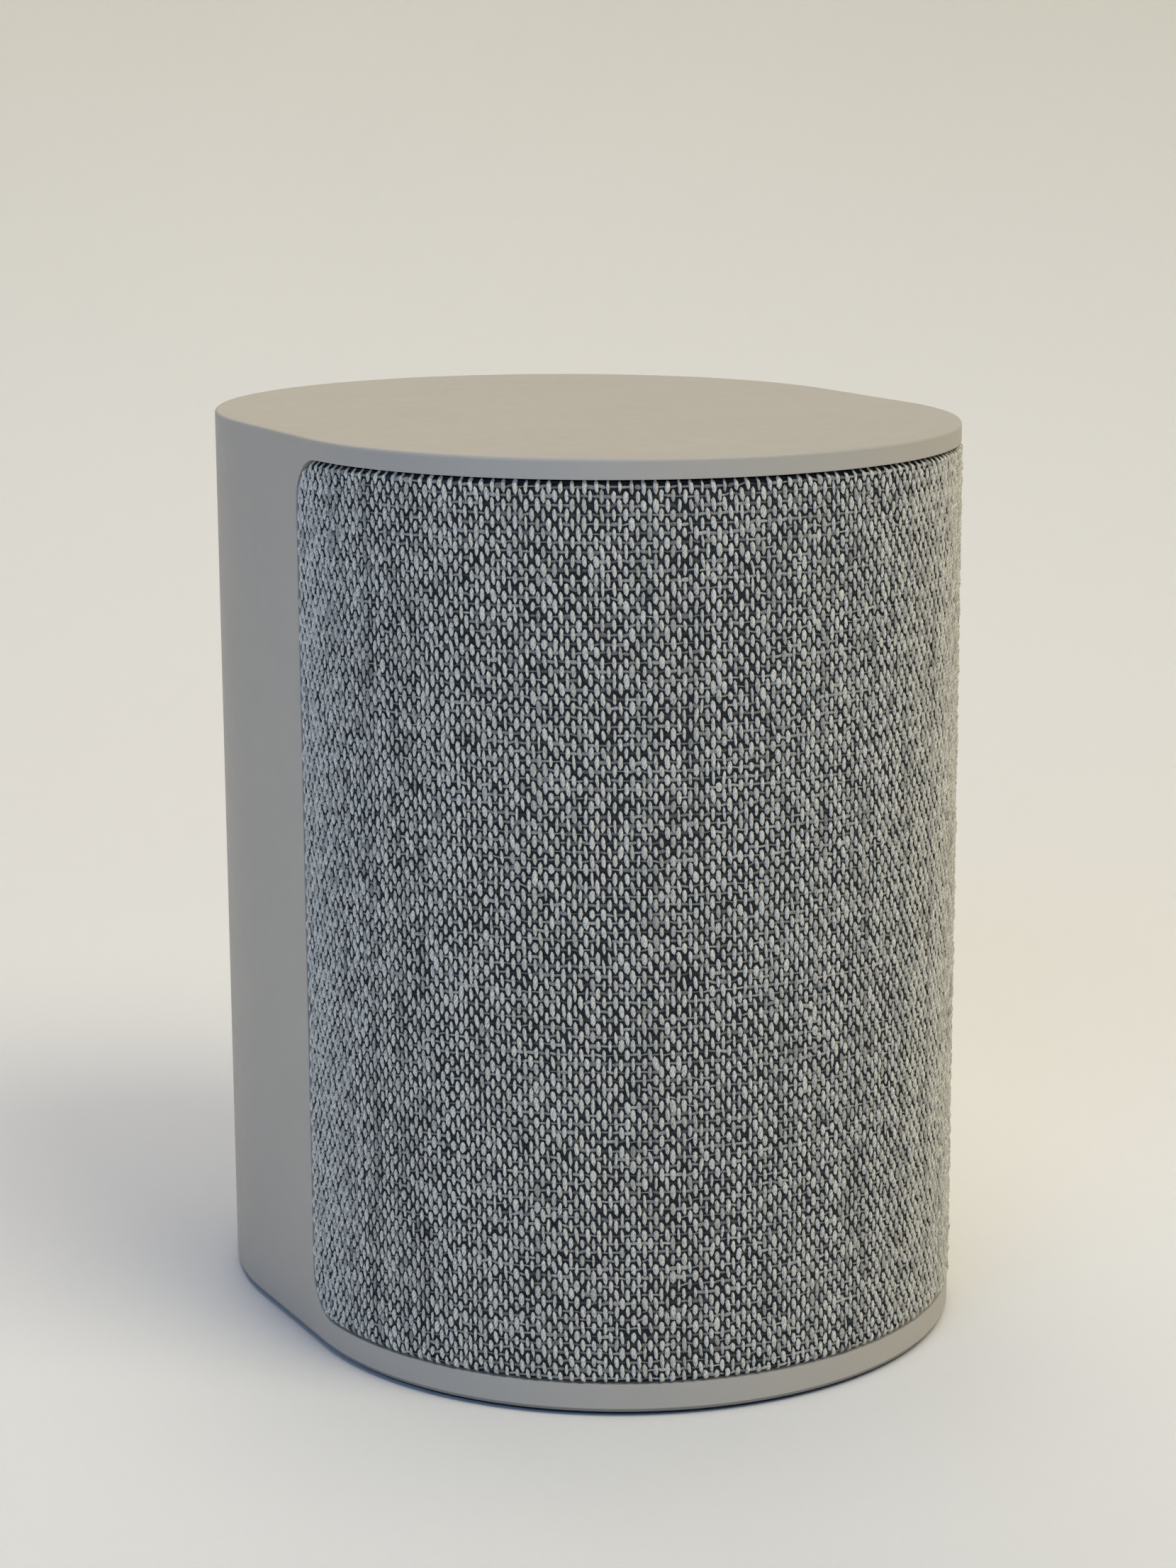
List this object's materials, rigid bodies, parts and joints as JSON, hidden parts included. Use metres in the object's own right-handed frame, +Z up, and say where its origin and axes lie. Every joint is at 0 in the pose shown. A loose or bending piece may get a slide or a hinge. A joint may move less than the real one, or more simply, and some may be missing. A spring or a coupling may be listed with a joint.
{
  "type": "smart speaker",
  "caption": "Compact tabletop smart speaker: painted stadium-plan housing, pull-off woven cloth front, woofer and tweeter, and a rear panel with buttons and sockets.",
  "frame": {"origin": "on the ground under the middle of the housing", "axes": "+Z up, the cloth front faces -Y, the rear panel faces +Y"},
  "size_m": [0.112, 0.14, 0.1515],
  "materials": {
    "aluminium": "satin",
    "black_plastic": "matte",
    "board": "satin",
    "brass": "satin",
    "clear_plastic": "gloss",
    "cloth": "matte",
    "copper": "satin",
    "dark_steel": "satin",
    "ferrite": "matte",
    "foam": "matte",
    "painted_housing": "matte",
    "paper_cone": "matte",
    "plated_steel": "satin",
    "rubber": "matte",
    "silk": "matte",
    "spider_cloth": "matte"
  },
  "bodies": {
    "housing": {"aerial_left": "board", "aerial_right": "board", "amplifier_heatsink": "aluminium", "aux_jack": "black_plastic", "base_plate": "black_plastic", "base_screw_1": "plated_steel", "base_screw_2": "plated_steel", "base_screw_3": "plated_steel", "base_screw_4": "plated_steel", "bulk_capacitor": "black_plastic", "chamber_back": "black_plastic", "chamber_screw_1": "plated_steel", "chamber_screw_2": "plated_steel", "chamber_screw_3": "plated_steel", "chamber_screw_4": "plated_steel", "damping_pad": "foam", "foot_pad": "rubber", "housing_shell": "painted_housing", "main_board": "board", "mains_inlet": "black_plastic", "mains_pin_left": "brass", "mains_pin_right": "brass", "panel_board": "board", "power_board": "board", "rear_panel": "black_plastic", "service_port": "plated_steel", "speaker_enclosure": "black_plastic", "status_light": "clear_plastic", "transformer": "ferrite", "tweeter_faceplate": "black_plastic", "tweeter_lead": "rubber", "tweeter_magnet": "plated_steel", "tweeter_pot": "plated_steel", "tweeter_screw_1": "plated_steel", "tweeter_screw_2": "plated_steel", "woofer_basket": "dark_steel", "woofer_gasket": "foam", "woofer_lead": "rubber", "woofer_magnet": "ferrite", "woofer_screw_1": "plated_steel", "woofer_screw_2": "plated_steel", "woofer_screw_3": "plated_steel", "woofer_screw_4": "plated_steel", "woofer_top_plate": "plated_steel", "woofer_yoke": "plated_steel"},
    "front_cover": {"front_cover_frame": "black_plastic", "front_cover_cloth": "cloth"},
    "woofer_diaphragm": {"woofer_cone": "paper_cone", "woofer_dust_cap": "paper_cone", "woofer_voice_coil": "copper", "woofer_surround": "rubber", "woofer_spider": "spider_cloth"},
    "tweeter_diaphragm": {"tweeter_dome": "silk", "tweeter_voice_coil": "copper", "tweeter_suspension": "silk"},
    "button_volume_up": {"button_volume_up": "black_plastic"},
    "button_volume_down": {"button_volume_down": "black_plastic"},
    "button_play_pause": {"button_play_pause": "black_plastic"},
    "button_connect": {"button_connect": "black_plastic"}
  },
  "joints": [
    {"name": "front_cover_pull", "type": "slide", "parent": "housing", "child": "front_cover", "axis": [0, -1, 0], "range_m": [0, 0.075]},
    {"name": "woofer_excursion", "type": "slide", "parent": "housing", "child": "woofer_diaphragm", "axis": [0, -1, 0], "range_m": [-0.003, 0.003], "stiffness_N_per_m": 1300, "deforming": ["woofer_surround", "woofer_spider"]},
    {"name": "tweeter_excursion", "type": "slide", "parent": "housing", "child": "tweeter_diaphragm", "axis": [0, -1, 0], "range_m": [-0.0003, 0.0003], "stiffness_N_per_m": 3000, "deforming": ["tweeter_suspension"]},
    {"name": "volume_up_press", "type": "slide", "parent": "housing", "child": "button_volume_up", "axis": [0, -1, 0], "range_m": [0, 0.0006], "stiffness_N_per_m": 2500},
    {"name": "volume_down_press", "type": "slide", "parent": "housing", "child": "button_volume_down", "axis": [0, -1, 0], "range_m": [0, 0.0006], "stiffness_N_per_m": 2500},
    {"name": "play_pause_press", "type": "slide", "parent": "housing", "child": "button_play_pause", "axis": [0, -1, 0], "range_m": [0, 0.0006], "stiffness_N_per_m": 2500},
    {"name": "connect_press", "type": "slide", "parent": "housing", "child": "button_connect", "axis": [0, -1, 0], "range_m": [0, 0.0006], "stiffness_N_per_m": 2500}
  ]
}
